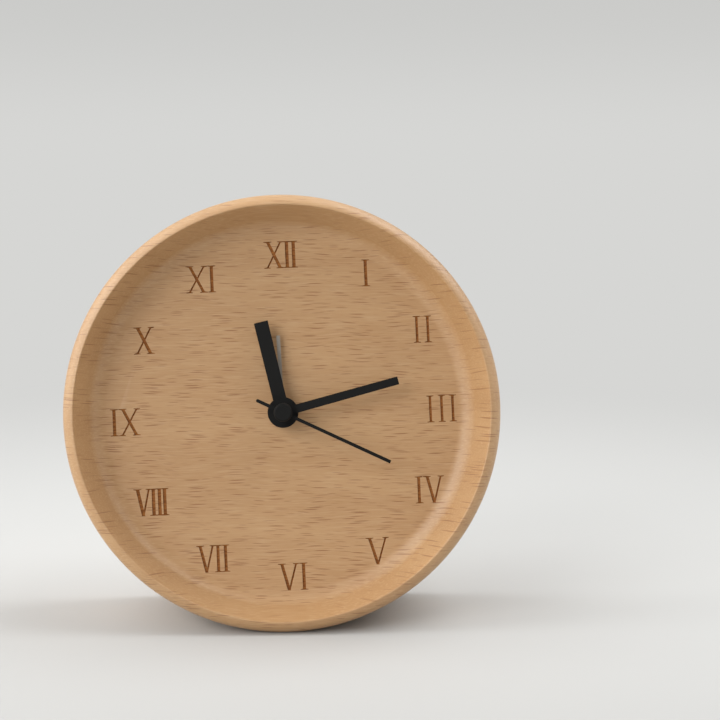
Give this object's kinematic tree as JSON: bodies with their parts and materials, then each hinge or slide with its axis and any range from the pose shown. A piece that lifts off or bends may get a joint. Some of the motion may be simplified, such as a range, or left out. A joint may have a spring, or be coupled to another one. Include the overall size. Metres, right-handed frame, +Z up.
{
  "type": "desk alarm clock",
  "caption": "Round turned-wood desk alarm clock, leaning back on a flat cut, with a dished open dial, bar hands and a quartz alarm movement in the back",
  "frame": {"origin": "centre of the flat base that the clock stands on", "axes": "+Z up, dial facing -Y and leaning back 9 degrees, +X to the right as seen from the front"},
  "size_m": [0.11, 0.056, 0.1087],
  "materials": {
    "beech": "turned and finely sanded beech, thin clear satin oil",
    "black_plastic": "moulded, fine matt texture",
    "knob_plastic": "moulded, satin",
    "natural_plastic": "natural acetal, moulded",
    "hand_black": "matt black enamel on stamped aluminium",
    "hand_grey": "grey enamel on stamped aluminium",
    "steel": "nickel plated",
    "brass": "rolled sheet",
    "copper_wire": "enamelled winding wire",
    "ferrite": "sintered magnet",
    "circuit_green": "solder mask",
    "chip_black": "moulded epoxy",
    "red_sleeve": "extruded wire sleeve",
    "cell_jacket": "printed foil jacket, plain"
  },
  "bodies": {
    "case_and_housing": {"case": "beech", "movement_front_shell": "black_plastic", "movement_rear_shell": "black_plastic", "housing_screws": "steel", "stator": "steel", "coil_core": "steel", "coil_bobbin": "natural_plastic", "coil_winding": "copper_wire", "circuit_board": "circuit_green", "quartz_crystal": "steel", "driver_chip": "chip_black", "buzzer_disc": "brass", "alarm_contact_leaf": "brass", "battery_contact_left": "steel", "battery_contact_right": "steel", "battery_lead": "red_sleeve"},
    "seconds": {"seconds_wheel": "natural_plastic", "second_hand": "hand_black", "second_hand_cap": "hand_black"},
    "third": {"third_wheel": "natural_plastic"},
    "centre": {"centre_wheel": "natural_plastic"},
    "fifth": {"fifth_wheel": "natural_plastic"},
    "rotor": {"rotor_pinion": "natural_plastic", "rotor_magnet": "ferrite"},
    "minute": {"cannon_pinion": "natural_plastic", "minute_hand": "hand_black"},
    "motion": {"motion_wheel": "natural_plastic"},
    "hour": {"hour_wheel": "natural_plastic", "hour_hand": "hand_black"},
    "time_setter": {"time_set_knob": "knob_plastic", "time_set_pinion": "natural_plastic"},
    "alarm": {"alarm_wheel": "natural_plastic", "alarm_hand": "hand_grey"},
    "alarm_setter": {"alarm_set_knob": "knob_plastic", "alarm_set_gear": "natural_plastic"},
    "switch": {"alarm_switch": "knob_plastic"},
    "battery": {"battery_cell": "cell_jacket"}
  },
  "joints": [
    {"name": "second_hand_turn", "type": "hinge", "parent": "case_and_housing", "child": "seconds", "pos_m": [0, -0.00419, 0.05346], "axis": [0, 0.9877, -0.1564], "continuous": true},
    {"name": "third_wheel_turn", "type": "hinge", "parent": "case_and_housing", "child": "third", "pos_m": [0.00764, -0.00299, 0.061], "axis": [0, 0.9877, -0.1564], "continuous": true},
    {"name": "centre_wheel_turn", "type": "hinge", "parent": "case_and_housing", "child": "centre", "pos_m": [0, -0.00419, 0.05346], "axis": [0, 0.9877, -0.1564], "continuous": true},
    {"name": "fifth_wheel_turn", "type": "hinge", "parent": "case_and_housing", "child": "fifth", "pos_m": [-0.00383, -0.00254, 0.06386], "axis": [0, 0.9877, -0.1564], "continuous": true},
    {"name": "rotor_turn", "type": "hinge", "parent": "case_and_housing", "child": "rotor", "pos_m": [-0.01162, -0.00184, 0.0683], "axis": [0, 0.9877, -0.1564], "continuous": true},
    {"name": "minute_hand_turn", "type": "hinge", "parent": "case_and_housing", "child": "minute", "pos_m": [0, -0.00419, 0.05346], "axis": [0, 0.9877, -0.1564], "continuous": true},
    {"name": "motion_wheel_turn", "type": "hinge", "parent": "case_and_housing", "child": "motion", "pos_m": [-0.00799, -0.00378, 0.05603], "axis": [0, 0.9877, -0.1564], "continuous": true},
    {"name": "hour_hand_turn", "type": "hinge", "parent": "case_and_housing", "child": "hour", "pos_m": [0, -0.00419, 0.05346], "axis": [0, 0.9877, -0.1564], "continuous": true},
    {"name": "time_set_turn", "type": "hinge", "parent": "case_and_housing", "child": "time_setter", "pos_m": [-0.01479, -0.00464, 0.05059], "axis": [0, 0.9877, -0.1564], "continuous": true},
    {"name": "alarm_hand_turn", "type": "hinge", "parent": "case_and_housing", "child": "alarm", "pos_m": [0, -0.00419, 0.05346], "axis": [0, 0.9877, -0.1564], "continuous": true},
    {"name": "alarm_set_turn", "type": "hinge", "parent": "case_and_housing", "child": "alarm_setter", "pos_m": [0.01374, -0.00461, 0.05082], "axis": [0, 0.9877, -0.1564], "continuous": true},
    {"name": "alarm_switch_slide", "type": "slide", "parent": "case_and_housing", "child": "switch", "axis": [0, 0.1564, 0.9877], "range_m": [0, 0.003]},
    {"name": "battery_lift", "type": "slide", "parent": "case_and_housing", "child": "battery", "axis": [0, 0.9877, -0.1564], "range_m": [0, 0.018]}
  ],
  "couplings": [
    {"joint": "third_wheel_turn", "follows": "second_hand_turn", "ratio": -0.125},
    {"joint": "centre_wheel_turn", "follows": "second_hand_turn", "ratio": 0.016667},
    {"joint": "fifth_wheel_turn", "follows": "second_hand_turn", "ratio": -6},
    {"joint": "rotor_turn", "follows": "second_hand_turn", "ratio": 30},
    {"joint": "motion_wheel_turn", "follows": "minute_hand_turn", "ratio": -0.33333},
    {"joint": "hour_hand_turn", "follows": "minute_hand_turn", "ratio": 0.083333},
    {"joint": "time_set_turn", "follows": "minute_hand_turn", "ratio": 0.85714},
    {"joint": "alarm_set_turn", "follows": "alarm_hand_turn", "ratio": -1}
  ]
}
